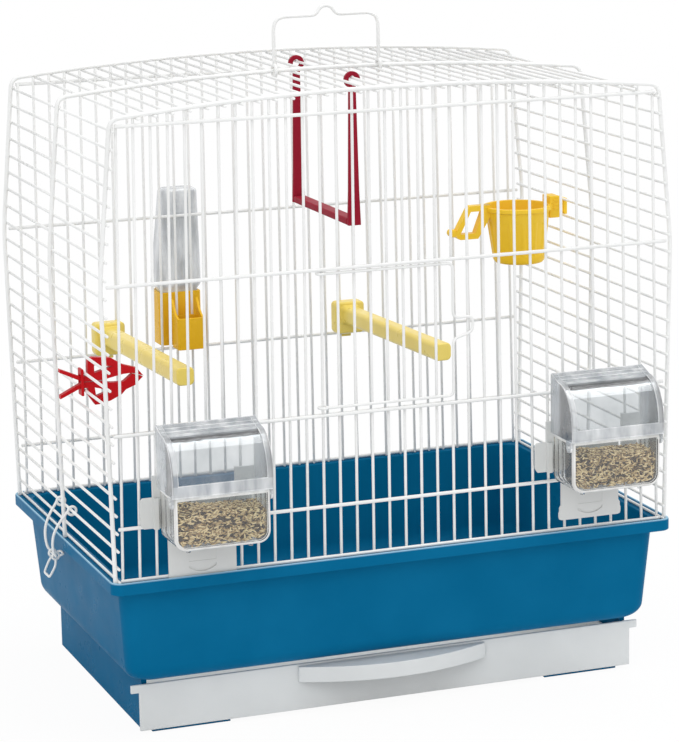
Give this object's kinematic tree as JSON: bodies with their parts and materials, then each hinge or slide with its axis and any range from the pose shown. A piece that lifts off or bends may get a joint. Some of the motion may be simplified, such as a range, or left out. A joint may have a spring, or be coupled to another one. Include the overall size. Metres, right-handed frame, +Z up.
{
  "type": "bird cage",
  "caption": "Wire cage for a small bird: arched wire body on a deep tray with a pull-out drawer, front door, outside feeders, drinker, perches, swing and carry handle.",
  "frame": {"origin": "on the floor, under the middle of the plinth", "axes": "+Z up, +Y towards the back, -Y towards the door and the drawer front, +X to the right seen from the front"},
  "size_m": [0.4139, 0.3055, 0.4523],
  "materials": {
    "painted_wire": "gloss white",
    "blue_plastic": "gloss blue",
    "grey_plastic": "pale grey",
    "white_plastic": "white",
    "clear_plastic": "clear moulded polystyrene",
    "yellow_plastic": "yellow",
    "dark_red_plastic": "dark red",
    "red_plastic": "red",
    "seed": "loose seed"
  },
  "bodies": {
    "cage": {"tray": "blue_plastic", "front_grille": "painted_wire", "back_grille": "painted_wire", "side_grille_left": "painted_wire", "side_grille_right": "painted_wire", "roof_grille": "painted_wire", "feeder_frame_left": "white_plastic", "feeder_frame_right": "white_plastic", "drinker_base": "yellow_plastic", "perch_left": "yellow_plastic", "perch_right": "yellow_plastic", "treat_cup": "yellow_plastic", "clip_plate": "red_plastic"},
    "drawer": {"drawer": "grey_plastic"},
    "door": {"main_door": "painted_wire"},
    "handle": {"carry_handle": "painted_wire"},
    "link_left": {"clasp_link_left": "painted_wire"},
    "link_right": {"clasp_link_right": "painted_wire"},
    "lever_left": {"clasp_lever_left": "painted_wire"},
    "lever_right": {"clasp_lever_right": "painted_wire"},
    "shutter_left": {"feeder_shutter_left": "white_plastic"},
    "shutter_right": {"feeder_shutter_right": "white_plastic"},
    "bin_left": {"feeder_bin_left": "clear_plastic", "seed_fill_left": "seed"},
    "bin_right": {"feeder_bin_right": "clear_plastic", "seed_fill_right": "seed"},
    "hood_left": {"feeder_hood_left": "clear_plastic"},
    "hood_right": {"feeder_hood_right": "clear_plastic"},
    "bottle": {"drinker_bottle": "clear_plastic"},
    "swing": {"swing_strap_front": "dark_red_plastic", "swing_strap_back": "dark_red_plastic", "swing_bar": "dark_red_plastic"},
    "jaw_upper": {"clip_jaw_upper": "red_plastic"},
    "jaw_lower": {"clip_jaw_lower": "red_plastic"}
  },
  "joints": [
    {"name": "drawer_slide", "type": "slide", "parent": "cage", "child": "drawer", "axis": [0, -1, 0], "range_m": [0, 0.19]},
    {"name": "door_hinge", "type": "hinge", "parent": "cage", "child": "door", "pos_m": [-0.05019, -0.11915, 0.25], "axis": [0, 0, -1], "range_deg": [0, 110]},
    {"name": "handle_hinge", "type": "hinge", "parent": "cage", "child": "handle", "pos_m": [0, 0, 0.40962], "axis": [1, 0, 0], "range_deg": [-78, 78]},
    {"name": "link_left_hinge", "type": "hinge", "parent": "cage", "child": "link_left", "pos_m": [-0.18988, 0, 0.1287], "axis": [0, 1, 0], "range_deg": [0, 110]},
    {"name": "lever_left_hinge", "type": "hinge", "parent": "link_left", "child": "lever_left", "pos_m": [-0.1996, 0, 0.0963], "axis": [0, 1, 0], "range_deg": [0, 100]},
    {"name": "link_right_hinge", "type": "hinge", "parent": "cage", "child": "link_right", "pos_m": [0.18988, 0, 0.1287], "axis": [0, -1, 0], "range_deg": [0, 110]},
    {"name": "lever_right_hinge", "type": "hinge", "parent": "link_right", "child": "lever_right", "pos_m": [0.1996, 0, 0.0963], "axis": [0, -1, 0], "range_deg": [0, 100]},
    {"name": "shutter_left_slide", "type": "slide", "parent": "cage", "child": "shutter_left", "axis": [0, 0, 1], "range_m": [0, 0.04]},
    {"name": "bin_left_lift", "type": "slide", "parent": "cage", "child": "bin_left", "axis": [0, 0, 1], "range_m": [0, 0.025]},
    {"name": "hood_left_hinge", "type": "hinge", "parent": "bin_left", "child": "hood_left", "pos_m": [-0.1315, -0.15415, 0.1648], "axis": [1, 0, 0], "range_deg": [0, 80]},
    {"name": "shutter_right_slide", "type": "slide", "parent": "cage", "child": "shutter_right", "axis": [0, 0, 1], "range_m": [0, 0.04]},
    {"name": "bin_right_lift", "type": "slide", "parent": "cage", "child": "bin_right", "axis": [0, 0, 1], "range_m": [0, 0.025]},
    {"name": "hood_right_hinge", "type": "hinge", "parent": "bin_right", "child": "hood_right", "pos_m": [0.1385, -0.15415, 0.1729], "axis": [1, 0, 0], "range_deg": [0, 80]},
    {"name": "bottle_lift", "type": "slide", "parent": "cage", "child": "bottle", "axis": [0, 0, 1], "range_m": [0, 0.045]},
    {"name": "swing_hinge", "type": "hinge", "parent": "cage", "child": "swing", "pos_m": [0, 0.007, 0.4079], "axis": [0, 1, 0], "range_deg": [-45, 45]},
    {"name": "jaw_upper_hinge", "type": "hinge", "parent": "cage", "child": "jaw_upper", "pos_m": [-0.19384, -0.0634, 0.22645], "axis": [0, -1, 0], "range_deg": [0, 4], "stiffness_Nm_per_rad": 0.02},
    {"name": "jaw_lower_hinge", "type": "hinge", "parent": "cage", "child": "jaw_lower", "pos_m": [-0.19384, -0.0634, 0.22645], "axis": [0, 1, 0], "range_deg": [0, 4]}
  ],
  "couplings": [
    {"joint": "jaw_lower_hinge", "follows": "jaw_upper_hinge", "ratio": 1}
  ]
}
